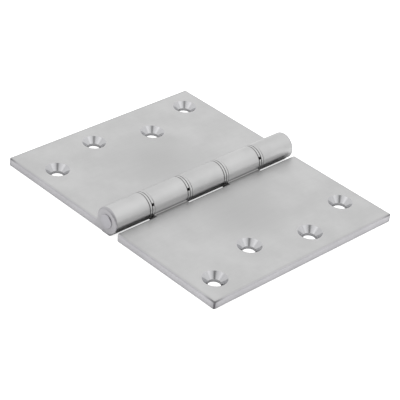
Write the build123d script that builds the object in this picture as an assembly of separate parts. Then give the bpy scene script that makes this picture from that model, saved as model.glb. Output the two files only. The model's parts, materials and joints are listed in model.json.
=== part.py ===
from build123d import *
from math import radians, tan
import os

# Projection hinge with broad leaves and double washers, lying open and flat.
# X runs across the leaves, Y along the pin and Z out of the countersunk faces.
# The origin is under the middle of the pin, in the plane of the leaves' backs.
# The three-knuckle leaf lies towards -X and the two-knuckle leaf towards +X.

# Leaves
hinge_length = 102.0  # along the pin
leaf_reach = 63.5  # pin's axis to a leaf's outer edge
leaf_thickness = 3.7
leaf_corner_radius = 0.8  # corners of the outline, seen from above
edge_break = 0.4  # bevel round the leaves and on the barrel's two ends

# Barrel
barrel_diameter = 11.8
knuckle_count = 5  # both leaves together
knuckle_root_radius = 0.3  # where a knuckle runs into the leaf's screw face
joint_edge_break = 0.3  # bevel on the knuckles' faces at the joints
slot_clearance = 0.9  # slotted edge to the other leaf's knuckles

# Pin
pin_diameter = 6.35
pin_stand = 0.4  # how far the pin stands out of the barrel at both ends
pin_end_break = 0.3
pin_seat_clearance = 0.01  # radial, in the knuckles that hold the pin
pin_running_clearance = 0.05  # radial, in the knuckles that turn on it

# Washers, two at each joint
washer_thickness = 1.2
washer_bore_clearance = 0.08  # radial, over the pin
washer_edge_break = 0.2
washer_play = 0.05  # between the two washers of a joint
notch_width = 1.2  # round-ended notch in the rim of each swing washer
notch_depth = 1.5
notch_angle = 29.0  # above the level, on the two-knuckle leaf's side
turned_notch_angle = -75.0  # where the notch is turned underneath
turned_notch_joint = 3

# Screw holes, in a zigzag of two rows on each leaf
screws_per_leaf = 4
screw_hole_diameter = 5.5
countersink_diameter = 10.4
countersink_angle = 90.0
screw_end_margin = 10.8  # leaf's end to the nearest hole's centre
screw_edge_margin = 11.2  # leaf's outer edge to the outer row
screw_row_offset = 8.0  # outer row to inner row

# Sizes that follow from these
barrel_radius = barrel_diameter / 2
pin_radius = pin_diameter / 2
slotted_edge = barrel_radius + slot_clearance
joint_count = knuckle_count - 1
joint_width = 2 * washer_thickness + washer_play
knuckle_length = (hinge_length - joint_count * joint_width) / knuckle_count
half_length = hinge_length / 2
pin_end = half_length + pin_stand
cut_over = 1.0  # how far a cutter runs past the face that it opens
touch = 1e-4


def knuckle_span(index):
    """Y of both faces of one knuckle, counted from 0 at the -Y end."""
    start = -half_length + index * (knuckle_length + joint_width)
    return start, start + knuckle_length


def bar(section, low, high):
    """Solid that has one section across the pin, from one Y to another."""
    return extrude(Plane.XZ.offset(-high) * section, high - low)


def around_pin(radius):
    """Round section about the pin's axis."""
    return Pos(0, barrel_radius) * Circle(radius)


def knuckle_section():
    """Round knuckle and the neck that joins it to its leaf, tangent at the back."""
    reach = slotted_edge + leaf_corner_radius + edge_break
    neck = Pos(reach / 2, leaf_thickness / 2) * Rectangle(reach, leaf_thickness)
    section = around_pin(barrel_radius) + neck
    roots = section.vertices().filter_by(
        lambda v: abs(v.Y - leaf_thickness) < touch and v.X < slotted_edge
    )
    return fillet(roots, knuckle_root_radius)


def knuckle(index):
    """One knuckle with its neck, bevelled on both faces."""
    blank = bar(knuckle_section(), *knuckle_span(index))
    first, last = index == 0, index == knuckle_count - 1
    low = blank.faces().sort_by(Axis.Y)[0]
    blank = chamfer(low.edges(), edge_break if first else joint_edge_break)
    high = blank.faces().sort_by(Axis.Y)[-1]
    return chamfer(high.edges(), edge_break if last else joint_edge_break)


def leaf_plate():
    """Flat of the leaf towards +X, from its slotted edge outwards, bevelled all round."""
    width = leaf_reach - slotted_edge
    outline = Pos(slotted_edge + width / 2, 0) * Rectangle(width, hinge_length)
    outline = fillet(outline.vertices(), leaf_corner_radius)
    plate = extrude(outline, leaf_thickness)
    return chamfer(plate.faces().filter_by(Axis.Z).edges(), edge_break)


def screw_places():
    """Hole centres on the leaf towards +X, from the -Y end, outer row first."""
    pitch = (hinge_length - 2 * screw_end_margin) / (screws_per_leaf - 1)
    outer_row = leaf_reach - screw_edge_margin
    places = []
    for index in range(screws_per_leaf):
        row = outer_row - screw_row_offset * (index % 2)
        places.append((row, -half_length + screw_end_margin + index * pitch))
    return places


def screw_tool():
    """Through hole and countersink, as one turned cutter."""
    hole = screw_hole_diameter / 2
    rim = countersink_diameter / 2
    slope = tan(radians(countersink_angle / 2))
    land = leaf_thickness - (rim - hole) / slope
    top = leaf_thickness + cut_over
    half_section = Polyline(
        (0, -cut_over), (hole, -cut_over), (hole, land), (rim + cut_over * slope, top),
        (0, top), close=True,
    )
    return revolve(Plane.XZ * make_face(half_section), Axis.Z)


def leaf(indices, bore_clearance):
    """Leaf towards +X, with the knuckles of these numbers and its screw holes."""
    blank = leaf_plate()
    for index in indices:
        blank += knuckle(index)
    blank -= bar(around_pin(pin_radius + bore_clearance), -half_length, half_length)
    for x, y in screw_places():
        blank -= Pos(x, y) * screw_tool()
    return blank


def hinge_pin():
    """Plain pin that stands a little out of the barrel, bevelled at both ends."""
    pin = bar(around_pin(pin_radius), -pin_end, pin_end)
    return chamfer(pin.edges().filter_by(GeomType.CIRCLE), pin_end_break)


def notch_section():
    """Section of a notch that opens towards +X, drawn from the pin's axis."""
    bottom = barrel_radius - notch_depth + notch_width / 2
    length = notch_depth + cut_over
    channel = Pos(bottom + length / 2, 0) * Rectangle(length, notch_width)
    return channel + Pos(bottom, 0) * Circle(notch_width / 2)


def washer(low, notch=None):
    """Washer from this Y upwards, as wide as the barrel, with a notch at this angle."""
    ring = bar(around_pin(barrel_radius), low, low + washer_thickness)
    ring = chamfer(ring.edges().filter_by(GeomType.CIRCLE), washer_edge_break)
    ring -= bar(around_pin(pin_radius + washer_bore_clearance), low, low + washer_thickness)
    if notch is not None:
        cutter = Pos(0, barrel_radius) * Rot(0, 0, notch) * notch_section()
        ring -= bar(cutter, low, low + washer_thickness)
    return ring


def washers():
    """The pair at each joint: one lies against a fixed knuckle, one against a swinging one."""
    pieces = {}
    for joint in range(1, knuckle_count):
        low_face = knuckle_span(joint - 1)[1]
        high_face = knuckle_span(joint)[0] - washer_thickness
        fixed, swing = (low_face, high_face) if joint % 2 else (high_face, low_face)
        notch = turned_notch_angle if joint == turned_notch_joint else notch_angle
        pieces[f"washer_joint_{joint}_fixed"] = washer(fixed)
        pieces[f"washer_joint_{joint}_swing"] = washer(swing, notch)
    return pieces


def hinge():
    """Every piece of the hinge, by name."""
    fixed = range(0, knuckle_count, 2)
    swinging = range(1, knuckle_count, 2)
    turned = sorted(knuckle_count - 1 - index for index in fixed)
    pieces = {
        "leaf_three_knuckle": Rot(0, 0, 180) * leaf(turned, pin_seat_clearance),
        "leaf_two_knuckle": leaf(swinging, pin_running_clearance),
        "hinge_pin": hinge_pin(),
    }
    pieces.update(washers())
    return pieces


os.makedirs("parts", exist_ok=True)
for name, piece in hinge().items():
    export_step(piece, f"parts/{name}.step")
    print(name, round(piece.volume, 2))
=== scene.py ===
"""Looks of a projection hinge: satin plated steel leaves, double washers and pin.

The hinge lies open and flat. X runs across the leaves, Y along the pin and Z out
of the countersunk faces. Sizes are in millimetres until a mesh is finished, and
those of the floor are in metres.
"""

import json
import logging
from dataclasses import dataclass
from enum import Enum
from math import asin, atan2, cos, pi, radians, sin, sqrt

import bmesh
import bpy
from bmesh.types import BMEdge, BMesh, BMFace, BMVert
from bpy.types import Material, Node, NodeSocket, NodeTree, Object, World
from mathutils import Matrix, Vector


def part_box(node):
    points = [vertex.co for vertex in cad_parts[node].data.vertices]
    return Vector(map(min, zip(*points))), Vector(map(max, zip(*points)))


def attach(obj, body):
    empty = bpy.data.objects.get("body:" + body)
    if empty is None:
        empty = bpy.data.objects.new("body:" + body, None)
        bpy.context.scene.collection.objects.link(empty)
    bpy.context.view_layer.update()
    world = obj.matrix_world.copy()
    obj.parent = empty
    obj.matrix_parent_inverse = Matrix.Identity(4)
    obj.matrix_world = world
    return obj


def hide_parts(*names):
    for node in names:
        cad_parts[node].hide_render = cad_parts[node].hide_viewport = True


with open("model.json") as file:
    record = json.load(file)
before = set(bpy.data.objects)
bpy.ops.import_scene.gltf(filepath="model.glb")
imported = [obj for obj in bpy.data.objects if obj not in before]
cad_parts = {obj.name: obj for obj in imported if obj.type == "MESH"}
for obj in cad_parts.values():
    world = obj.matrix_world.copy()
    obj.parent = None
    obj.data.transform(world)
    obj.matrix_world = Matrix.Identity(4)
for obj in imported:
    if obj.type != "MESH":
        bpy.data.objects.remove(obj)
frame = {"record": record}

log = logging.getLogger("projection_hinge")

METRES = 0.001  # one millimetre
NEAR = 1e-4  # places closer than this are the same
WELD = 1e-3  # the same, for places that two operators worked out
CREASE = radians(32)  # a fold sharper than this stays crisp
CORNER_FOLD = radians(60)  # a fold sharper than this is an edge that gets rounded
NO_FOLD = radians(1)  # a fold blunter than this is flat

KNUCKLE_COUNT = 5  # both leaves together
LEAF_THICKNESS = 3.7
ROUND_STEPS = 96  # edges round the barrel
BORE_STEPS = 64  # edges round the pin, a bore or a screw hole
MOUTH_ROUND = ((1.0, 0.0), (0.2, 0.25), (-0.7, 0.7))  # outwards and down, in mouth breaks

# Shares of a direction in a face's normal, which tell how the face stands to it
SQUARE_ON = 0.999  # it looks straight that way
FLAT_ON = 0.985  # the same, with a little lean
HALF_ON = 0.5  # it looks more that way than across it
TURNED = 0.35  # it is part of a rounded corner
TILTED = 0.15  # it leans that way
LEANING = 0.1  # it leans that way by the least that shows

NOISE_MIDDLE = 0.5
MIX_COLOURS, MIX_RESULT = (6, 7), 2  # colour inputs and colour output of a Mix node


class Side(Enum):
    """Which way a leaf lies from the pin."""

    FIXED = -1
    SWING = 1


class Skin(Enum):
    """Places on a leaf that were finished in different ways or get painted shade, by material
    index.
    """

    FACE = 0
    COUNTERSINK = 1
    CUT_EDGE = 2
    JOINT = 3
    BROKEN_EDGE = 4
    CORNER = 5
    RIM = 6


class WasherSkin(Enum):
    """Places on a washer that were finished in different ways or get painted shade, by material
    index.
    """

    RIM = 0
    RECESS = 1
    JOINT = 2


class Notch(Enum):
    """Where the notch of a swing washer points, in degrees above the level."""

    IN_SIGHT = 29.0
    TURNED_UNDER = -75.0


class Run(Enum):
    """Which way a line runs, given by a 1 for each axis across it."""

    ALONG_PIN = (1, 0, 1)
    ALONG_END = (0, 1, 1)
    UPRIGHT = (1, 1, 0)


# Sizes taken from the frame


def node_box(node: str) -> tuple[Vector, Vector]:
    """Lowest and highest corner of a node, in millimetres."""
    low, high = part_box(node)
    return low / METRES, high / METRES


@dataclass(frozen=True)
class Barrel:
    """The run of knuckles and washers round the pin."""

    radius: float
    pin_radius: float
    half_length: float
    joints: tuple[tuple[float, float], ...]  # Y of both ends of each pair of washers

    @classmethod
    def from_frame(cls) -> "Barrel":
        """Reads the barrel from the pin, the washers and the leaf with the end knuckles.

        Returns:
            The barrel's sizes.
        """
        low, high = node_box("hinge_pin")
        _, leaf_high = node_box("leaf_three_knuckle")
        joints = []
        for number in range(1, KNUCKLE_COUNT):
            boxes = [node_box(f"washer_joint_{number}_{kind}") for kind in ("fixed", "swing")]
            joints.append((min(b[0].y for b in boxes), max(b[1].y for b in boxes)))
        return cls(
            radius=(low.z + high.z) / 2,  # the barrel touches the plane of the leaves' backs
            pin_radius=(high.x - low.x) / 2,
            half_length=leaf_high.y,
            joints=tuple(joints),
        )

    def knuckle(self, index: int) -> tuple[float, float]:
        """Y of both faces of one knuckle, counted from 0 at the -Y end."""
        starts = [-self.half_length] + [high for _, high in self.joints]
        ends = [low for low, _ in self.joints] + [self.half_length]
        return starts[index], ends[index]

    def centre(self, y: float) -> Vector:
        """Point on the pin's axis."""
        return Vector((0, y, self.radius))


# Colours and finishes


def linear(code: str) -> tuple[float, float, float, float]:
    """Turns an sRGB hex colour to linear, by the curve of the sRGB standard.

    Args:
        code: Six hex digits.

    Returns:
        Red, green and blue from 0 to 1, and an alpha of 1.
    """
    parts = [int(code[i : i + 2], 16) / 255 for i in (0, 2, 4)]
    red, green, blue = (
        p / 12.92 if p <= 0.04045 else ((p + 0.055) / 1.055) ** 2.4 for p in parts
    )
    return red, green, blue, 1.0


def add_node(
    tree: NodeTree, kind: str, settings: dict | None = None, links: dict | None = None
) -> Node:
    """Adds one shader node with its settings and the links into it.

    Args:
        tree: Node tree that gets the node.
        kind: Blender's type name of the node.
        settings: Values by attribute name, or by name or number for an input.
        links: Output sockets by the name or number of the input that each feeds.

    Returns:
        The new node.
    """
    node = tree.nodes.new(kind)
    for key, value in (settings or {}).items():
        if isinstance(key, str) and hasattr(node, key):
            setattr(node, key, value)
        else:
            node.inputs[key].default_value = value
    for key, socket in (links or {}).items():
        tree.links.new(socket, node.inputs[key])
    return node


def cleared_tree(owner: Material | World) -> NodeTree:
    """Node tree of a new material or world, without the nodes that it comes with."""
    owner.use_nodes = True
    owner.node_tree.nodes.clear()
    return owner.node_tree


@dataclass(frozen=True)
class PaintedShadeLine:
    """A straight line of painted shade, fading out around it."""

    middle: tuple[float, float, float]  # point on the line, 0 along the line itself
    run: Run
    reach: float  # from the line to where it has faded out
    tone: float  # share of the plating's colour that is left on the line
    mirrored: bool = False  # also where X and Y are below 0

    def shade(self, tree: NodeTree, place: NodeSocket) -> NodeSocket:
        """Adds the nodes that tell how near the line a point lies.

        Args:
            tree: Node tree of a material.
            place: Object coordinates.

        Returns:
            A value from 1 on the line to 0 beyond its reach.
        """
        if self.mirrored:
            place = add_node(
                tree, "ShaderNodeVectorMath", {"operation": "ABSOLUTE"}, {0: place}
            ).outputs[0]
        flat = add_node(
            tree, "ShaderNodeVectorMath", {"operation": "MULTIPLY", 1: self.run.value}, {0: place}
        )
        middle = tuple(c * METRES for c in self.middle)
        away = add_node(
            tree, "ShaderNodeVectorMath", {"operation": "DISTANCE", 1: middle},
            {0: flat.outputs[0]},
        )
        depth = add_node(
            tree, "ShaderNodeMapRange",
            {"interpolation_type": "SMOOTHSTEP", "From Min": self.reach * METRES,
             "From Max": 0.0},
            {"Value": away.outputs["Value"]},
        )
        return depth.outputs["Result"]


@dataclass(frozen=True)
class PaintedLeafShade:
    """Where shade is painted on the leaves: round the knuckles, over their middles, at the borders
    and corners.
    """

    radius: float  # of the barrel
    edge: float  # pin's axis to the outer edges
    end: float  # middle of the pin to the leaves' ends
    root_lift: float = 0.6  # line at the knuckles' roots, above the screw face
    flank_inset: float = 0.8  # line on the knuckles' flanks over the slots, in from the side
    flank_drop: float = 3.0  # and down from the pin's axis
    middle: float = 26.0  # pin's axis to the middle of a leaf

    @classmethod
    def from_frame(cls, barrel: Barrel) -> "PaintedLeafShade":
        """Takes the leaves' edge and end from the far corner of the leaf towards +X."""
        _, corner = node_box("leaf_two_knuckle")
        return cls(barrel.radius, corner.x, corner.y)

    def on_faces(self, side: Side) -> tuple[PaintedShadeLine, ...]:
        """Lists the lines of painted shade on one leaf: root, flank, middle and the two borders.

        Args:
            side: Side that the leaf lies on.

        Returns:
            The lines.
        """
        way, top = side.value, LEAF_THICKNESS
        root = (way * self.radius, 0, top + self.root_lift)
        flank = (-way * (self.radius - self.flank_inset), 0, self.radius - self.flank_drop)
        return (
            # Painted shade in the crease at the knuckles' roots, under the barrel over the slots,
            # broadly over the middle and along both borders
            PaintedShadeLine(root, Run.ALONG_PIN, reach=1.2, tone=0.6),
            PaintedShadeLine(flank, Run.ALONG_PIN, reach=3.2, tone=0.45),
            PaintedShadeLine((way * self.middle, 0, 0), Run.UPRIGHT, reach=30.0, tone=0.925),
            PaintedShadeLine((self.edge, 0, top), Run.ALONG_PIN, reach=1.5, tone=0.88, mirrored=True),
            PaintedShadeLine((0, self.end, top), Run.ALONG_END, reach=1.5, tone=0.88, mirrored=True),
        )

    def at_corners(self, reach: float, tone: float) -> PaintedShadeLine:
        """Makes the upright line of painted shade at the leaves' outer corners."""
        return PaintedShadeLine((self.edge, self.end, 0), Run.UPRIGHT, reach, tone, mirrored=True)

    def on_outline(self) -> tuple[PaintedShadeLine, ...]:
        """Lists the lines of painted shade on the milled outline: round the pin and at the corners.
        """
        round_pin = PaintedShadeLine((0, 0, self.radius), Run.ALONG_PIN, reach=13.0, tone=0.78)
        return round_pin, self.at_corners(reach=2.6, tone=0.7)


@dataclass(frozen=True)
class SatinSteel:
    """Steel, ground with a fine belt and plated with satin chrome.

    The belt leaves lines along the pin, and the plating's clouds make them soft:
    a light, even grey with a wide, blurred gloss.
    """

    name: str
    pale: str = "cbcbcb"
    deep: str = "c3c3c3"
    roughness: float = 0.38
    roughness_swing: float = 0.05
    cloud_mm: float = 14.0  # width of a cloud in the plating
    cloud_span: float = 0.15  # from the noise's middle to where a cloud is full
    grain_mm: float = 0.5  # real belt lines are 0.1 mm, drawn coarser to show
    grain_run_mm: float = 16.0  # length of a belt line
    grain_span: float = 0.2  # from the noise's middle to where the gloss is at its limit
    grain_depth_mm: float = 0.004
    grain_strength: float = 0.35
    # Lines of painted shade on this finish
    painted_shade: tuple[PaintedShadeLine, ...] = ()

    def material(self) -> Material:
        """Builds the finish.

        Returns:
            The material, patterned in object coordinates.
        """
        made = bpy.data.materials.new(self.name)
        tree = cleared_tree(made)
        place = add_node(tree, "ShaderNodeTexCoord").outputs["Object"]
        grain = self.grain(tree, place)
        gloss = add_node(
            tree, "ShaderNodeMapRange",
            {"From Min": NOISE_MIDDLE - self.grain_span,
             "From Max": NOISE_MIDDLE + self.grain_span,
             "To Min": self.roughness - self.roughness_swing,
             "To Max": self.roughness + self.roughness_swing},
            {"Value": grain},
        )
        relief = add_node(
            tree, "ShaderNodeBump",
            {"Strength": self.grain_strength, "Distance": self.grain_depth_mm * METRES},
            {"Height": grain},
        )
        shader = add_node(
            tree, "ShaderNodeBsdfPrincipled", {"Metallic": 1.0},
            {"Base Color": self.colour(tree, place), "Roughness": gloss.outputs["Result"],
             "Normal": relief.outputs["Normal"]},
        )
        add_node(tree, "ShaderNodeOutputMaterial", {}, {"Surface": shader.outputs["BSDF"]})
        return made

    def grain(self, tree: NodeTree, place: NodeSocket) -> NodeSocket:
        """Adds the nodes of the belt's lines, drawn out along the pin.

        Args:
            tree: Node tree of the material.
            place: Object coordinates.

        Returns:
            The height of the lines, around the noise's middle.
        """
        across = 1 / (self.grain_mm * METRES)
        along = 1 / (self.grain_run_mm * METRES)
        stretched = add_node(
            tree, "ShaderNodeMapping", {"Scale": (across, along, across)}, {"Vector": place}
        )
        grain = add_node(
            tree, "ShaderNodeTexNoise", {"Scale": 1.0, "Detail": 2.0, "Roughness": 0.6},
            {"Vector": stretched.outputs["Vector"]},
        )
        return grain.outputs[0]

    def colour(self, tree: NodeTree, place: NodeSocket) -> NodeSocket:
        """Adds the nodes of the plating's clouds and of its painted shade.

        Args:
            tree: Node tree of the material.
            place: Object coordinates.

        Returns:
            The colour.
        """
        cloud_scale = 1 / (self.cloud_mm * METRES)
        clouds = add_node(
            tree, "ShaderNodeTexNoise", {"Scale": cloud_scale, "Detail": 3.0, "Roughness": 0.55},
            {"Vector": place},
        )
        tone = add_node(
            tree, "ShaderNodeMapRange",
            {"From Min": NOISE_MIDDLE - self.cloud_span,
             "From Max": NOISE_MIDDLE + self.cloud_span},
            {"Value": clouds.outputs[0]},
        )
        colour = self.mix(tree, tone.outputs["Result"], linear(self.deep), linear(self.pale))
        # Painted shade, darkening the colour along each line
        for line in self.painted_shade:
            shade_colour = [c * line.tone for c in linear(self.deep)[:3]]
            colour = self.mix(tree, line.shade(tree, place), colour, (*shade_colour, 1.0))
        return colour

    @staticmethod
    def mix(
        tree: NodeTree, factor: NodeSocket, first: tuple | NodeSocket, second: tuple | NodeSocket
    ) -> NodeSocket:
        """Mixes two colours.

        Args:
            tree: Node tree of the material.
            factor: Socket with the share of the second colour.
            first: Colour, or a socket with one.
            second: Colour, or a socket with one.

        Returns:
            Socket with the mixed colour.
        """
        node = add_node(tree, "ShaderNodeMix", {"data_type": "RGBA"}, {0: factor})
        for number, colour in zip(MIX_COLOURS, (first, second)):
            if isinstance(colour, tuple):
                node.inputs[number].default_value = colour
            else:
                tree.links.new(colour, node.inputs[number])
        return node.outputs[MIX_RESULT]


@dataclass(frozen=True)
class Finishes:
    """Every finish on the hinge, built once."""

    faces: dict[Side, Material]
    countersink: Material
    cut_edge: Material
    broken_edge: Material
    corner: Material
    rim: Material
    washer: Material
    recess: Material
    joint: Material
    pin: Material


def hinge_finishes(leaf_shade: PaintedLeafShade) -> Finishes:
    """Builds the finishes of all pieces.

    Args:
        leaf_shade: Where shade is painted on the leaves.

    Returns:
        The finishes.
    """
    return Finishes(
        # Pale and even, with painted shade: a little over the middle, along the borders, and dark
        # where a knuckle turns under
        faces={
            side: SatinSteel(
                f"satin_chrome_on_ground_{side.name.lower()}_leaf", painted_shade=leaf_shade.on_faces(side)
            ).material()
            for side in Side
        },
        # A sharper gloss than the ground faces, so that a cone splits the light into bands
        countersink=SatinSteel(
            "satin_chrome_on_turned_countersinks", pale="c4c4c6", deep="bcbcbe", roughness=0.13
        ).material(),
        # A cooler grey that sets the outline and the barrel's ends off from the faces, with painted
        # shade round the pin and at the corners
        cut_edge=SatinSteel(
            "satin_chrome_on_milled_edges", pale="c7c6c9", deep="bfbec1", roughness=0.34,
            painted_shade=leaf_shade.on_outline(),
        ).material(),
        # A soft line between face and outline, with painted shade that darkens it towards the
        # corners
        broken_edge=SatinSteel(
            "rubbed_satin_chrome_on_broken_edges", pale="c3c2c5", deep="bbbabd",
            roughness=0.42, painted_shade=(leaf_shade.at_corners(reach=7.0, tone=0.45),),
        ).material(),
        # Painted shade: a thin dark upright line at each corner
        corner=SatinSteel(
            "painted_shade_on_leaf_corners", pale="7c7a7e", deep="68666a", roughness=0.45
        ).material(),
        # A ring round each end of the barrel, rougher and in a darker colour that is painted shade,
        # without the knuckles' bright streak
        rim=SatinSteel(
            "rubbed_satin_chrome_on_barrel_rims", pale="b8b7ba", deep="aeadb1", roughness=0.5
        ).material(),
        # As pale as the leaves and a little glossier, like metal from a smooth die
        washer=SatinSteel("satin_chrome_on_punched_washers", roughness=0.34).material(),
        # Painted shade in the notches, which look like nearly black points
        recess=SatinSteel(
            "painted_shade_in_notches", pale="504e4c", deep="3a3836", roughness=0.55
        ).material(),
        # Painted shade of the joints: a thin grey line on both sides of each
        joint=SatinSteel(
            "oil_film_on_faced_knuckle_rims", pale="9a9a9a", deep="888888", roughness=0.3
        ).material(),
        # Slightly darker than the knuckle around it, so that the pin's disc shows
        pin=SatinSteel("satin_chrome_on_turned_pin", pale="b8b7bb", deep="b0afb3").material(),
    )


# Mesh tools


def flat_face(bm: BMesh, normal: Vector, height: float) -> BMFace:
    """Finds the largest flat face that looks one way at one height.

    Args:
        bm: Mesh to search.
        normal: The way that the face looks.
        height: Distance of the face from the origin along its normal.

    Returns:
        The face.
    """
    found = [
        f
        for f in bm.faces
        if f.normal.dot(normal) > SQUARE_ON and abs(f.verts[0].co.dot(normal) - height) < WELD
    ]
    return max(found, key=BMFace.calc_area)


def ring(bm: BMesh, radius: float, place: Matrix) -> list[BMEdge]:
    """Adds a round loop of edges.

    Args:
        bm: Mesh that gets the loop.
        radius: Radius of the loop.
        place: Turns and moves the loop from the XY plane.

    Returns:
        The edges, always in the same order.
    """
    made = bmesh.ops.create_circle(
        bm, cap_ends=False, radius=radius, segments=BORE_STEPS, matrix=place
    )
    return list(dict.fromkeys(e for v in made["verts"] for e in v.link_edges))


def open_face(bm: BMesh, face: BMFace, loops: list[list[BMEdge]]) -> None:
    """Fills a flat face anew so that it has round openings.

    Args:
        bm: Mesh that the face is in.
        face: Face to open.
        loops: Edges of each opening.
    """
    normal = face.normal.copy()
    rim = list(face.edges)
    bmesh.ops.delete(bm, geom=[face], context="FACES_ONLY")
    edges = rim + [e for loop in loops for e in loop]
    bmesh.ops.triangle_fill(bm, use_beauty=True, use_dissolve=False, edges=edges, normal=normal)


def around_y(centre: Vector) -> Matrix:
    """Matrix that stands an XY circle across the pin, at this centre."""
    return Matrix.Translation(centre) @ Matrix.Rotation(pi / 2, 4, "X")


def bore_through(bm: BMesh, radius: float, barrel: Barrel, low: float, high: float) -> None:
    """Bores a piece along the pin, between its two flat faces.

    Args:
        bm: Mesh to bore.
        radius: Radius of the bore.
        barrel: The barrel's sizes.
        low: Y of the lower face.
        high: Y of the upper face.
    """
    loops = []
    for y, way in ((low, -1), (high, 1)):
        loop = ring(bm, radius, around_y(barrel.centre(y)))
        open_face(bm, flat_face(bm, Vector((0, way, 0)), y * way), [loop])
        loops += loop
    bmesh.ops.bridge_loops(bm, edges=loops)


def bevelled(bm: BMesh, width: float, segments: int) -> BMesh:
    """Rounds the edges that carry a bevel weight, each by its own width.

    Args:
        bm: Mesh to round, used up.
        width: Width of the round at a weight of 1.
        segments: Faces across the round.

    Returns:
        A new mesh with the rounds in it.
    """
    mesh = bpy.data.meshes.new("blank")
    bm.to_mesh(mesh)
    bm.free()
    blank = bpy.data.objects.new("blank", mesh)
    bpy.context.scene.collection.objects.link(blank)
    tool = blank.modifiers.new("edge_break", "BEVEL")
    tool.limit_method = "WEIGHT"
    tool.width = width
    tool.segments = segments
    tool.profile = 0.5
    tool.use_clamp_overlap = False
    depsgraph = bpy.context.evaluated_depsgraph_get()
    cut = bpy.data.meshes.new_from_object(blank.evaluated_get(depsgraph))
    result = bmesh.new()
    result.from_mesh(cut)
    bpy.data.objects.remove(blank)
    bpy.data.meshes.remove(mesh)
    bpy.data.meshes.remove(cut)
    return result


def finished(name: str, bm: BMesh, materials: list[Material]) -> Object:
    """Turns a bmesh in millimetres into a smooth-shaded object in metres.

    Args:
        name: Name of the piece.
        bm: Closed mesh, used up.
        materials: Materials by material index.

    Returns:
        The object, at the origin.
    """
    bmesh.ops.remove_doubles(bm, verts=bm.verts, dist=NEAR)
    bmesh.ops.recalc_face_normals(bm, faces=bm.faces)
    open_edges = sum(not e.is_manifold for e in bm.edges)
    for face in bm.faces:
        face.smooth = True
    for edge in bm.edges:
        edge.smooth = edge.calc_face_angle(0.0) < CREASE
    bmesh.ops.scale(bm, vec=(METRES,) * 3, verts=bm.verts)
    mesh = bpy.data.meshes.new(name)
    bm.to_mesh(mesh)
    bm.free()
    for material in materials:
        mesh.materials.append(material)
    piece = bpy.data.objects.new(name, mesh)
    bpy.context.scene.collection.objects.link(piece)
    even = piece.modifiers.new("flats_stay_flat", "WEIGHTED_NORMAL")
    even.keep_sharp = True
    log.info("%s: %d faces, %d open edges", name, len(mesh.polygons), open_edges)
    return piece


# Leaves


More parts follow.
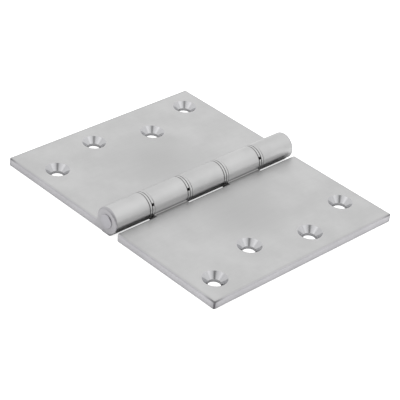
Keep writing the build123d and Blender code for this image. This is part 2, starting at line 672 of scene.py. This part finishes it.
@dataclass
class Leaf:
    """One broad leaf with its knuckles, its bore and its countersunk holes."""

    name: str
    body: str
    side: Side
    barrel: Barrel
    knuckles: tuple[int, ...]
    bore_clearance: float
    thickness: float = LEAF_THICKNESS
    slot_clearance: float = 0.9
    corner_radius: float = 0.8
    root_radius: float = 0.3
    edge_round: float = 0.6  # round the screw face
    back_round: float = 0.4
    joint_edge_break: float = 0.3
    hole_diameter: float = 5.5
    countersink_diameter: float = 10.4
    mouth_break: float = 0.12
    skin_margin: float = 0.5  # how far inside the slotted edge a knuckle's skins begin
    corner_steps: int = 6
    root_steps: int = 8
    round_steps: int = 5

    @property
    def reach(self) -> float:
        """Pin's axis to the leaf's outer edge."""
        low, high = node_box(self.name)
        return max(-low.x, high.x)

    @property
    def slotted_edge(self) -> float:
        """Pin's axis to the edge between the knuckles."""
        return self.barrel.radius + self.slot_clearance

    @property
    def rim_round(self) -> float:
        """Width of the round on the barrel's ends, at the top of the barrel."""
        return self.round_at(2 * self.barrel.radius)

    @property
    def root(self) -> float:
        """Pin's axis to where a knuckle's root fillet meets the screw face."""
        span = self.barrel.radius + self.root_radius
        rise = self.barrel.radius - self.thickness - self.root_radius
        return sqrt(span**2 - rise**2)

    def round_at(self, height: float) -> float:
        """Width of the round at a height: the back's at 0 and the screw face's on top."""
        return self.back_round + (self.edge_round - self.back_round) * (height / self.thickness)

    def spans(self) -> list[tuple[float, float]]:
        """Y of the knuckles' faces on a leaf that lies towards +X."""
        found = [self.barrel.knuckle(i) for i in self.knuckles]
        if self.side is Side.FIXED:
            found = [(-high, -low) for low, high in found]
        return sorted(found)

    def screw_places(self) -> list[tuple[float, float]]:
        """Reads the hole centres from the record's mounts.

        Returns:
            X and Y of each hole on a leaf that lies towards +X.
        """
        places = []
        for mount in frame["record"]["mounts"]:
            if mount["kind"] != "bolt_pattern" or mount["pos_m"][0] * self.side.value < 0:
                continue
            x, y, _ = (c / METRES * self.side.value for c in mount["pos_m"])
            half = mount["dims"]["spacing_y_mm"] / 2
            places += [(x, y - half), (x, y + half)]
        return places

    def outline(self) -> BMesh:
        """Cuts the leaf's flat outline, with a tab for each knuckle.

        Returns:
            A mesh of one face at the height of the screw face.
        """
        bm = bmesh.new()
        bmesh.ops.create_grid(bm, x_segments=1, y_segments=1, size=1 / 2)  # 1 mm wide
        width, length = self.reach - self.slotted_edge, 2 * self.barrel.half_length
        bmesh.ops.scale(bm, vec=(width, length, 1), verts=bm.verts)
        middle = (self.reach + self.slotted_edge) / 2
        bmesh.ops.translate(bm, vec=(middle, 0, self.thickness), verts=bm.verts)
        for y in {y for span in self.spans() for y in span}:
            if abs(y) < self.barrel.half_length - NEAR:
                bmesh.ops.bisect_plane(
                    bm, geom=bm.verts[:] + bm.edges[:] + bm.faces[:],
                    plane_co=(0, y, 0), plane_no=(0, 1, 0),
                )
        inner = [
            e
            for e in bm.edges
            if all(abs(v.co.x - self.slotted_edge) < NEAR for v in e.verts)
            and any(low < (e.verts[0].co.y + e.verts[1].co.y) / 2 < high
                    for low, high in self.spans())
        ]
        tabs = bmesh.ops.extrude_edge_only(bm, edges=inner)["geom"]
        for vert in (g for g in tabs if isinstance(g, BMVert)):
            vert.co.x = self.root
        bmesh.ops.recalc_face_normals(bm, faces=bm.faces)
        bmesh.ops.dissolve_faces(bm, faces=bm.faces[:])
        straight = [v for v in bm.verts if v.calc_edge_angle(pi) < NO_FOLD]
        bmesh.ops.dissolve_verts(bm, verts=straight)
        half = self.barrel.half_length - NEAR
        corners = [
            v for v in bm.verts if abs(v.co.y) > half and v.co.x > self.slotted_edge - NEAR
        ]
        bmesh.ops.bevel(
            bm, geom=corners, offset=self.corner_radius, offset_type="OFFSET",
            segments=self.corner_steps, profile=0.5, affect="VERTICES", material=-1,
        )
        return bm

    def roll_knuckles(self, bm: BMesh, tab_ends: list[BMEdge]) -> None:
        """Rolls a knuckle from each tab: up round the root fillet, then round the pin.

        Args:
            bm: The outline with its walls.
            tab_ends: Inner edges of the tabs.
        """
        fillet = Vector((self.root, 0, self.thickness + self.root_radius))
        lean = atan2(self.barrel.radius - fillet.z, self.root)
        for edge in tab_ends:
            turned = bmesh.ops.spin(
                bm, geom=[edge, *edge.verts], cent=fillet, axis=(0, 1, 0),
                angle=pi / 2 + lean, steps=self.root_steps, use_merge=False,
            )
            bmesh.ops.spin(
                bm, geom=turned["geom_last"], cent=self.barrel.centre(0), axis=(0, -1, 0),
                angle=3 * pi / 2 + lean, steps=ROUND_STEPS, use_merge=False,
            )
        bmesh.ops.remove_doubles(bm, verts=bm.verts, dist=WELD)

    def blank(self) -> BMesh:
        """Gives the outline its thickness and its knuckles, and closes the mesh.

        Returns:
            A closed mesh without holes.
        """
        bm = self.outline()
        tab_ends = [e for e in bm.edges if all(abs(v.co.x - self.root) < NEAR for v in e.verts)]
        rest = [e for e in bm.edges if e not in tab_ends]
        walls = bmesh.ops.extrude_edge_only(bm, edges=rest)["geom"]
        for vert in (g for g in walls if isinstance(g, BMVert)):
            vert.co.z = 0.0
            if abs(vert.co.x - self.root) < NEAR:
                vert.co.x = 0.0
        self.roll_knuckles(bm, tab_ends)
        for y in {y for span in self.spans() for y in span}:
            open_edges = [
                e
                for e in bm.edges
                if e.is_boundary
                and all(abs(v.co.y - y) < NEAR for v in e.verts)
                and any(v.co.z > NEAR for v in e.verts)
            ]
            bmesh.ops.contextual_create(bm, geom=open_edges)
        bmesh.ops.contextual_create(bm, geom=[e for e in bm.edges if e.is_boundary])
        bmesh.ops.recalc_face_normals(bm, faces=bm.faces)
        flush = [
            e
            for e in bm.edges
            if len(e.link_faces) == 2
            and all(abs(f.normal.y) > SQUARE_ON for f in e.link_faces)
            and e.calc_face_angle(0.0) < NO_FOLD
        ]
        bmesh.ops.dissolve_edges(bm, edges=flush, use_verts=False)
        return bm

    def weigh_edges(self, bm: BMesh) -> None:
        """Weighs the edges to be rounded: wider with their height, and slight at the joints.

        Args:
            bm: The blank.
        """
        layer = bm.edges.layers.float.new("bevel_weight_edge")
        half = self.barrel.half_length - NEAR
        for edge in bm.edges:
            if edge.calc_face_angle_signed(0.0) < CORNER_FOLD:
                continue
            at_end = any(abs(v.co.y) > half for v in edge.verts)
            inner = min(v.co.x for v in edge.verts) < self.slotted_edge - NEAR
            if inner and not at_end:
                width = self.joint_edge_break
            else:
                width = self.round_at(sum(v.co.z for v in edge.verts) / 2)
            edge[layer] = width / self.rim_round

    def drill(self, bm: BMesh) -> None:
        """Drills and countersinks the screw holes.

        Args:
            bm: The bored leaf.
        """
        hole, rim = self.hole_diameter / 2, self.countersink_diameter / 2
        land = self.thickness - (rim - hole)  # the countersink slopes at 45 degrees
        profile = [
            (rim + out * self.mouth_break, self.thickness - down * self.mouth_break)
            for out, down in MOUTH_ROUND
        ]
        profile += [(hole, land), (hole, 0.0)]
        mouths, feet = [], []
        for x, y in self.screw_places():
            loops = [ring(bm, r, Matrix.Translation((x, y, z))) for r, z in profile]
            for upper, lower in zip(loops, loops[1:]):
                for face in bmesh.ops.bridge_loops(bm, edges=upper + lower)["faces"]:
                    face.material_index = Skin.COUNTERSINK.value
            mouths.append(loops[0])
            feet.append(loops[-1])
        open_face(bm, flat_face(bm, Vector((0, 0, 1)), self.thickness), mouths)
        open_face(bm, flat_face(bm, Vector((0, 0, -1)), 0.0), feet)

    def on_rim(self, place: Vector) -> bool:
        """Whether a point lies within the round along the leaf's outline."""
        half = self.barrel.half_length - self.edge_round
        inner, outer = self.slotted_edge + self.edge_round, self.reach - self.edge_round
        return abs(place.y) > half or not inner < place.x < outer

    def knuckle_skin(self, face: BMFace) -> Skin:
        """Tells the finish of a face on the barrel: joint bevel with painted shade, end face, its
        round with painted shade, or the rest.

        Args:
            face: Face of a knuckle.

        Returns:
            The finish.
        """
        y, lean = face.calc_center_median().y, abs(face.normal.y)
        half = self.barrel.half_length
        joints = [end for span in self.spans() for end in span if abs(end) < half]
        near = any(abs(y - joint) < self.joint_edge_break + NEAR for joint in joints)
        if near and face.normal.y * self.side.value > LEANING:
            return Skin.JOINT
        if abs(y) > half - self.rim_round and lean > TILTED:
            return Skin.CUT_EDGE if lean > FLAT_ON else Skin.RIM
        return Skin.FACE

    def plate_skin(self, face: BMFace) -> Skin:
        """Tells the finish of a face on the flat: outline, its corners, its round or the rest.

        Args:
            face: Face of the leaf's flat.

        Returns:
            The finish.
        """
        if abs(face.normal.z) < TILTED:
            turned = min(abs(face.normal.x), abs(face.normal.y)) > TURNED
            return Skin.CORNER if turned else Skin.CUT_EDGE
        if abs(face.normal.z) < FLAT_ON and self.on_rim(face.calc_center_median()):
            return Skin.BROKEN_EDGE
        return Skin.FACE

    def mark_skins(self, bm: BMesh) -> None:
        """Gives every face but the countersinks' the finish of its place on the leaf.

        Args:
            bm: The leaf.
        """
        for face in bm.faces:
            if face.material_index == Skin.COUNTERSINK.value:
                continue
            inside = face.calc_center_median().x < self.slotted_edge - self.skin_margin
            skin = self.knuckle_skin(face) if inside else self.plate_skin(face)
            face.material_index = skin.value

    def build(self, finishes: Finishes) -> Object:
        """Builds and dresses the leaf.

        Args:
            finishes: The hinge's finishes.

        Returns:
            The finished leaf.
        """
        bm = self.blank()
        self.weigh_edges(bm)
        bm = bevelled(bm, self.rim_round, self.round_steps)
        for low, high in self.spans():
            bore_through(bm, self.barrel.pin_radius + self.bore_clearance, self.barrel, low, high)
        self.drill(bm)
        bmesh.ops.recalc_face_normals(bm, faces=bm.faces)
        self.mark_skins(bm)
        if self.side is Side.FIXED:
            bmesh.ops.rotate(bm, cent=(0, 0, 0), matrix=Matrix.Rotation(pi, 3, "Z"), verts=bm.verts)
        skins = {
            Skin.FACE: finishes.faces[self.side],
            Skin.COUNTERSINK: finishes.countersink,
            Skin.CUT_EDGE: finishes.cut_edge,
            Skin.JOINT: finishes.joint,
            Skin.BROKEN_EDGE: finishes.broken_edge,
            Skin.CORNER: finishes.corner,
            Skin.RIM: finishes.rim,
        }
        leaf = finished(f"satin_{self.name}", bm, [skins[skin] for skin in Skin])
        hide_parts(self.name)
        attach(leaf, self.body)
        return leaf


# Pin and washers


@dataclass
class HingePin:
    """Plain pin through all knuckles, standing a little out of the barrel's ends."""

    barrel: Barrel
    end_break: float = 0.3
    end_steps: int = 4

    def build(self, finishes: Finishes) -> Object:
        """Builds and dresses the pin.

        Args:
            finishes: The hinge's finishes.

        Returns:
            The finished pin.
        """
        bm = bmesh.new()
        radius = self.barrel.pin_radius
        low, high = node_box("hinge_pin")
        bmesh.ops.create_cone(
            bm, cap_ends=True, segments=BORE_STEPS, radius1=radius, radius2=radius,
            depth=high.y - low.y, matrix=around_y(self.barrel.centre(0)),
        )
        rims = [e for e in bm.edges if e.calc_face_angle(0.0) > CORNER_FOLD]
        bmesh.ops.bevel(
            bm, geom=rims, offset=self.end_break, offset_type="OFFSET",
            segments=self.end_steps, profile=0.5, affect="EDGES", material=-1,
        )
        pin = finished("satin_hinge_pin", bm, [finishes.pin])
        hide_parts("hinge_pin")
        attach(pin, "fixed_leaf")
        return pin


@dataclass
class Washer:
    """One punched washer, as wide as the barrel, with or without a notch in its rim."""

    node: str
    body: str
    barrel: Barrel
    notch: Notch | None = None
    notch_width: float = 1.2
    notch_depth: float = 1.5
    notch_lip: float = 0.1  # depth below the rim from which a face belongs to the notch
    bore_clearance: float = 0.08
    edge_break: float = 0.2
    edge_steps: int = 3
    notched_rim_steps: int = 90
    notch_root_steps: int = 12

    def notched_outline(self, low: float, angle: float) -> BMesh:
        """Draws the rim round to the notch, and closes it over the notch's round root.

        Args:
            low: Y of the washer's lower face.
            angle: The way that the notch points, in radians above the level.

        Returns:
            A mesh of one flat face.
        """
        bm = bmesh.new()
        radius, half_width = self.barrel.radius, self.notch_width / 2
        centre = self.barrel.centre(low)
        outwards = Vector((cos(angle), 0, sin(angle)))
        sideways = Vector((-sin(angle), 0, cos(angle))) * half_width
        half_mouth = asin(half_width / radius)
        mouth = centre + outwards * radius * cos(half_mouth) + sideways
        vert = bmesh.ops.create_vert(bm, co=mouth)["vert"][0]
        rim = bmesh.ops.spin(
            bm, geom=[vert], cent=centre, axis=(0, -1, 0), angle=2 * (pi - half_mouth),
            steps=self.notched_rim_steps, use_merge=False,
        )
        hub = centre + outwards * (radius - self.notch_depth + half_width)
        wall = bmesh.ops.extrude_vert_indiv(bm, verts=rim["geom_last"])["verts"]
        wall[0].co = hub - sideways
        root = bmesh.ops.spin(
            bm, geom=wall, cent=hub, axis=(0, 1, 0), angle=pi, steps=self.notch_root_steps,
            use_merge=False,
        )
        bmesh.ops.contextual_create(bm, geom=[*root["geom_last"], vert])
        bmesh.ops.contextual_create(bm, geom=bm.edges[:])
        return bm

    def outline(self, low: float) -> BMesh:
        """Draws the washer's rim.

        Args:
            low: Y of the washer's lower face.

        Returns:
            A mesh of one flat face.
        """
        if self.notch is not None:
            return self.notched_outline(low, radians(self.notch.value))
        bm = bmesh.new()
        bmesh.ops.create_circle(
            bm, cap_ends=True, radius=self.barrel.radius, segments=ROUND_STEPS,
            matrix=around_y(self.barrel.centre(low)),
        )
        return bm

    def depth(self, vert: BMVert) -> float:
        """Depth of a point below the washer's rim."""
        return self.barrel.radius - sqrt(vert.co.x**2 + (vert.co.z - self.barrel.radius) ** 2)

    def mark_recess(self, bm: BMesh) -> None:
        """Gives the notch's walls their painted shade, before the rim is broken.

        Args:
            bm: The washer's blank.
        """
        for face in bm.faces:
            inside = all(self.depth(v) > NEAR for v in face.verts)
            across = any(self.depth(v) > self.notch_lip for v in face.verts)
            if abs(face.normal.y) < HALF_ON and (inside or across):
                face.material_index = WasherSkin.RECESS.value

    def break_rims(self, bm: BMesh) -> None:
        """Rounds the washer's two round edges.

        Args:
            bm: The washer's blank.
        """
        rims = [
            e
            for e in bm.edges
            if abs(e.verts[0].co.y - e.verts[1].co.y) < NEAR
            and all(self.depth(v) < WELD for v in e.verts)
        ]
        bmesh.ops.bevel(
            bm, geom=rims, offset=self.edge_break, offset_type="OFFSET",
            segments=self.edge_steps, profile=0.5, affect="EDGES", material=-1,
        )

    def mark_joint(self, bm: BMesh, upper: bool) -> None:
        """Gives the sides the painted shade of the joint: both, or only the lower on a joint's
        upper washer.

        Args:
            bm: The washer, not yet bored.
            upper: Whether the washer is the upper one of its joint.
        """
        for face in bm.faces:
            facing = -face.normal.y if upper else abs(face.normal.y)
            if face.material_index == WasherSkin.RIM.value and facing > LEANING:
                face.material_index = WasherSkin.JOINT.value

    def build(self, finishes: Finishes) -> Object:
        """Builds and dresses the washer.

        Args:
            finishes: The hinge's finishes.

        Returns:
            The finished washer.
        """
        box_low, box_high = node_box(self.node)
        low, high = box_low.y, box_high.y
        bm = self.outline(low)
        body = bmesh.ops.extrude_face_region(bm, geom=bm.faces[:], use_keep_orig=True)["geom"]
        risen = [g for g in body if isinstance(g, BMVert)]
        bmesh.ops.translate(bm, vec=(0, high - low, 0), verts=risen)
        bmesh.ops.recalc_face_normals(bm, faces=bm.faces)
        self.mark_recess(bm)
        self.break_rims(bm)
        self.mark_joint(bm, any(abs(high - end) < NEAR for _, end in self.barrel.joints))
        bore_through(bm, self.barrel.pin_radius + self.bore_clearance, self.barrel, low, high)
        skins = {
            WasherSkin.RIM: finishes.washer,
            WasherSkin.RECESS: finishes.recess,
            WasherSkin.JOINT: finishes.joint,
        }
        washer = finished(f"satin_{self.node}", bm, [skins[skin] for skin in WasherSkin])
        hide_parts(self.node)
        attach(washer, self.body)
        return washer


def hinge_washers(barrel: Barrel, turned_joint: int = 3) -> list[Washer]:
    """Lists the pair of washers at each joint.

    Args:
        barrel: The barrel's sizes.
        turned_joint: Joint whose notch is turned underneath, counted from 1.

    Returns:
        The washers, with the swing washer of each pair notched.
    """
    washers = []
    for number in range(1, len(barrel.joints) + 1):
        notch = Notch.TURNED_UNDER if number == turned_joint else Notch.IN_SIGHT
        washers.append(Washer(f"washer_joint_{number}_fixed", "fixed_leaf", barrel))
        washers.append(Washer(f"washer_joint_{number}_swing", "swing_leaf", barrel, notch))
    return washers


# Floor, light and camera


@dataclass(frozen=True)
class SoftLight:
    """One soft light in the surroundings, brightest in the middle of its cone."""

    azimuth: float  # from -Y towards +X, in degrees
    elevation: float
    core: float  # degrees from its middle within which it is at full strength
    edge: float  # degrees from its middle where it ends
    strength: float

    def way(self) -> Vector:
        """Direction from the hinge to the light."""
        turn, rise = radians(self.azimuth), radians(self.elevation)
        return Vector((sin(turn) * cos(rise), -cos(turn) * cos(rise), sin(rise)))

    def shine(self, tree: NodeTree, way: NodeSocket) -> NodeSocket:
        """Adds the nodes of the light.

        Args:
            tree: Node tree of the world.
            way: Direction that is looked in.

        Returns:
            The light's strength in that direction.
        """
        nearness = add_node(
            tree, "ShaderNodeVectorMath", {"operation": "DOT_PRODUCT", 1: self.way()}, {0: way}
        )
        glow = add_node(
            tree, "ShaderNodeMapRange",
            {"interpolation_type": "SMOOTHSTEP", "From Min": cos(radians(self.edge)),
             "From Max": cos(radians(self.core)), "To Max": self.strength},
            {"Value": nearness.outputs["Value"]},
        )
        return glow.outputs["Result"]


@dataclass(frozen=True)
class Studio:
    """White floor that the hinge lies on, white surroundings and soft lights, in metres."""

    footprint: tuple[float, float]  # half of the hinge's reach along X and Y
    floor_drop: float = 0.00005
    floor_size: float = 12.0
    floor_colour: str = "e6e6e6"
    floor_glow: float = 0.8
    near_glow: float = 0.29  # that the metal sees at the camera's end of the hinge
    far_glow: float = 0.52
    glow_span: float = 0.15  # either side of the middle over which that glow grows
    contact_reach: float = 0.0016  # width of the painted shadow in the floor's glow along the hinge
    barrel_shade: float = 0.0025  # half width of the painted shadow on the floor under the barrel
    shade_edge: float = 0.0001
    backdrop_azimuth: float = 223.4  # straight behind the hinge, seen from the camera
    backdrop_strength: float = 1.0
    backdrop_from: float = 0.2  # where it is full, from -1 at the camera to 1 straight behind
    camera_side_to: float = -0.9  # on the same scale, where the camera's side ends
    camera_side_strength: float = 0.08

    def beside_hinge(self, tree: NodeTree, spread: list[NodeSocket]) -> NodeSocket:
        """Adds the nodes of the painted shadow in the glow that the metal sees, which tell the
        floor beside the hinge from the floor under it.

        Args:
            tree: Node tree of the paint.
            spread: Distances from the middle along X, Y and Z.

        Returns:
            A value from 0 under the hinge to 1 beside it.
        """
        past = [
            add_node(
                tree, "ShaderNodeMapRange",
                {"From Min": limit - self.contact_reach, "From Max": limit + self.contact_reach},
                {"Value": spread[axis]},
            )
            for axis, limit in enumerate(self.footprint)
        ]
        beside = add_node(
            tree, "ShaderNodeMath", {"operation": "MAXIMUM"},
            {0: past[0].outputs[0], 1: past[1].outputs[0]},
        )
        return beside.outputs[0]

    def under_barrel(self, tree: NodeTree, spread: list[NodeSocket]) -> NodeSocket:
        """Adds the nodes of the painted shadow of the barrel, a dark strip of floor that shows
        below the barrel in the slots.

        Args:
            tree: Node tree of the paint.
            spread: Distances from the middle along X, Y and Z.

        Returns:
            A value of 1 in the strip and 0 elsewhere.
        """
        below = add_node(
            tree, "ShaderNodeMapRange",
            {"From Min": self.barrel_shade + self.shade_edge,
             "From Max": self.barrel_shade - self.shade_edge},
            {"Value": spread[0]},
        )
        within = add_node(
            tree, "ShaderNodeMath", {"operation": "LESS_THAN", 1: self.footprint[1]},
            {0: spread[1]},
        )
        strip = add_node(
            tree, "ShaderNodeMath", {"operation": "MULTIPLY"},
            {0: below.outputs[0], 1: within.outputs[0]},
        )
        return strip.outputs[0]

    def glow_in_metal(self, tree: NodeTree, place: NodeSocket) -> NodeSocket:
        """Adds the nodes of the glow that the metal sees, growing across the camera's view.

        Args:
            tree: Node tree of the paint.
            place: Object coordinates of the floor.

        Returns:
            The strength of the glow.
        """
        turn = radians(self.backdrop_azimuth) + pi / 2
        across = add_node(
            tree, "ShaderNodeVectorMath",
            {"operation": "DOT_PRODUCT", 1: (sin(turn), -cos(turn), 0)}, {0: place},
        )
        glow = add_node(
            tree, "ShaderNodeMapRange",
            {"From Min": self.glow_span, "From Max": -self.glow_span,
             "To Min": self.near_glow, "To Max": self.far_glow},
            {"Value": across.outputs["Value"]},
        )
        return glow.outputs[0]

    def floor_paint(self) -> Material:
        """Paints the floor matt white: pure white to the camera, with painted shadows of the hinge.

        Returns:
            The paint.
        """
        paint = bpy.data.materials.new("matt_white_floor")
        tree = cleared_tree(paint)
        path = add_node(tree, "ShaderNodeLightPath").outputs
        place = add_node(tree, "ShaderNodeTexCoord").outputs["Object"]
        away = add_node(tree, "ShaderNodeVectorMath", {"operation": "ABSOLUTE"}, {0: place})
        spread = add_node(tree, "ShaderNodeSeparateXYZ", {}, {0: away.outputs[0]})
        spread = list(spread.outputs)
        # Painted shadow: the metal sees no glow from the floor under the hinge, and less along its
        # edges
        in_metal = add_node(
            tree, "ShaderNodeMath", {"operation": "MULTIPLY"},
            {0: path["Is Glossy Ray"], 1: self.beside_hinge(tree, spread)},
        )
        in_metal = add_node(
            tree, "ShaderNodeMath", {"operation": "MULTIPLY"},
            {0: in_metal.outputs[0], 1: self.glow_in_metal(tree, place)},
        )
        seen = add_node(
            tree, "ShaderNodeMath", {"operation": "MAXIMUM"},
            {0: path["Is Camera Ray"], 1: path["Is Transmission Ray"]},
        )
        # Painted shadow of the barrel, taken out of the white that the camera sees
        seen = add_node(
            tree, "ShaderNodeMath", {"operation": "SUBTRACT", "use_clamp": True},
            {0: seen.outputs[0], 1: self.under_barrel(tree, spread)},
        )
        glow = add_node(
            tree, "ShaderNodeMath", {"operation": "MULTIPLY_ADD", 1: self.floor_glow},
            {0: seen.outputs[0], 2: in_metal.outputs[0]},
        )
        matt = add_node(tree, "ShaderNodeBsdfDiffuse", {"Color": linear(self.floor_colour)})
        white = add_node(
            tree, "ShaderNodeEmission", {"Color": (1, 1, 1, 1)}, {"Strength": glow.outputs[0]}
        )
        lit = add_node(
            tree, "ShaderNodeAddShader", {}, {0: matt.outputs[0], 1: white.outputs[0]}
        )
        under = add_node(tree, "ShaderNodeNewGeometry").outputs["Backfacing"]
        clear = add_node(tree, "ShaderNodeBsdfTransparent").outputs[0]
        one_sided = add_node(
            tree, "ShaderNodeMixShader", {}, {0: under, 1: lit.outputs[0], 2: clear}
        )
        add_node(tree, "ShaderNodeOutputMaterial", {}, {"Surface": one_sided.outputs[0]})
        return paint

    def lay_floor(self) -> Object:
        """Lays the floor under the hinge.

        Returns:
            The floor.
        """
        bm = bmesh.new()
        bmesh.ops.create_grid(bm, x_segments=1, y_segments=1, size=self.floor_size / 2)
        bmesh.ops.translate(bm, vec=(0, 0, -self.floor_drop), verts=bm.verts)
        mesh = bpy.data.meshes.new("studio_floor")
        bm.to_mesh(mesh)
        bm.free()
        mesh.materials.append(self.floor_paint())
        floor = bpy.data.objects.new("studio_floor", mesh)
        bpy.context.scene.collection.objects.link(floor)
        return floor

    def surround(self) -> None:
        """Sets white surroundings that are darker in metal on the camera's side."""
        world = bpy.data.worlds.new("studio_surroundings")
        tree = cleared_tree(world)
        way = add_node(tree, "ShaderNodeTexCoord").outputs["Generated"]
        turn = radians(self.backdrop_azimuth)
        depth = add_node(
            tree, "ShaderNodeVectorMath",
            {"operation": "DOT_PRODUCT", 1: (sin(turn), -cos(turn), 0)}, {0: way},
        )
        strength = add_node(
            tree, "ShaderNodeMapRange",
            {"interpolation_type": "SMOOTHSTEP", "From Min": self.camera_side_to,
             "From Max": self.backdrop_from, "To Min": self.camera_side_strength,
             "To Max": self.backdrop_strength},
            {"Value": depth.outputs["Value"]},
        )
        for light in self.lights():
            strength = add_node(
                tree, "ShaderNodeMath", {"operation": "ADD"},
                {0: strength.outputs[0], 1: light.shine(tree, way)},
            )
        seen = add_node(tree, "ShaderNodeLightPath").outputs["Is Camera Ray"]
        strength = add_node(
            tree, "ShaderNodeMath", {"operation": "MAXIMUM"}, {0: seen, 1: strength.outputs[0]}
        )
        sky = add_node(
            tree, "ShaderNodeBackground", {"Color": (1, 1, 1, 1)},
            {"Strength": strength.outputs[0]},
        )
        add_node(tree, "ShaderNodeOutputWorld", {}, {"Surface": sky.outputs[0]})
        bpy.context.scene.world = world

    def lights(self) -> list[SoftLight]:
        """Lists the soft lights.

        Returns:
            One high at the camera's left, one high and one low at its right, one high
            towards the far right, and one low on the camera's side.
        """
        return [
            SoftLight(azimuth=-4.0, elevation=50.0, core=12.0, edge=34.0, strength=0.66),
            SoftLight(azimuth=101.0, elevation=51.0, core=6.0, edge=28.0, strength=0.6),
            SoftLight(azimuth=130.0, elevation=14.0, core=5.0, edge=28.0, strength=0.16),
            SoftLight(azimuth=175.0, elevation=54.0, core=5.0, edge=34.0, strength=0.1),
            SoftLight(azimuth=43.4, elevation=4.0, core=4.0, edge=25.0, strength=0.9),
        ]

    def set_up(self) -> None:
        """Lays the floor and sets all the light."""
        self.lay_floor()
        self.surround()


@dataclass(frozen=True)
class ProductCamera:
    """Camera at the photograph's viewing angle, solved from the hinge's corners in it."""

    place: tuple[float, float, float] = (395.79, -411.71, 367.91)
    look: tuple[float, float, float] = (-0.57971, 0.60557, -0.54518)  # the way that it looks
    right: tuple[float, float, float] = (0.68129, 0.72725, 0.08337)  # to the right in the picture
    lens: float = 144.93
    sensor_width: float = 36.0

    def set_up(self) -> Object:
        """Makes the scene's camera.

        Returns:
            The camera.
        """
        back = -Vector(self.look).normalized()
        across = Vector(self.right).normalized()
        up = back.cross(across).normalized()
        turn = Matrix((across, up, back)).transposed().to_4x4()
        data = bpy.data.cameras.new("product_camera")
        data.lens = self.lens
        data.sensor_width = self.sensor_width
        camera = bpy.data.objects.new("product_camera", data)
        camera.matrix_world = Matrix.Translation(Vector(self.place) * METRES) @ turn
        bpy.context.scene.collection.objects.link(camera)
        bpy.context.scene.camera = camera
        return camera


def main() -> None:
    """Builds the camera, the studio and every piece of the hinge."""
    logging.basicConfig(level=logging.INFO, format="%(name)s: %(message)s")
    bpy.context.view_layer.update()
    bpy.context.scene.view_settings.view_transform = "Standard"
    ProductCamera().set_up()
    _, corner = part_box("leaf_two_knuckle")
    Studio(footprint=(corner.x, corner.y)).set_up()
    barrel = Barrel.from_frame()
    finishes = hinge_finishes(PaintedLeafShade.from_frame(barrel))
    leaves = [
        Leaf("leaf_three_knuckle", "fixed_leaf", Side.FIXED, barrel,
             knuckles=(0, 2, 4), bore_clearance=0.01),
        Leaf("leaf_two_knuckle", "swing_leaf", Side.SWING, barrel,
             knuckles=(1, 3), bore_clearance=0.05),
    ]
    for piece in [*leaves, HingePin(barrel), *hinge_washers(barrel)]:
        made = piece.build(finishes)
        log.info("built %s", made.name)


if __name__ == "__main__":
    main()
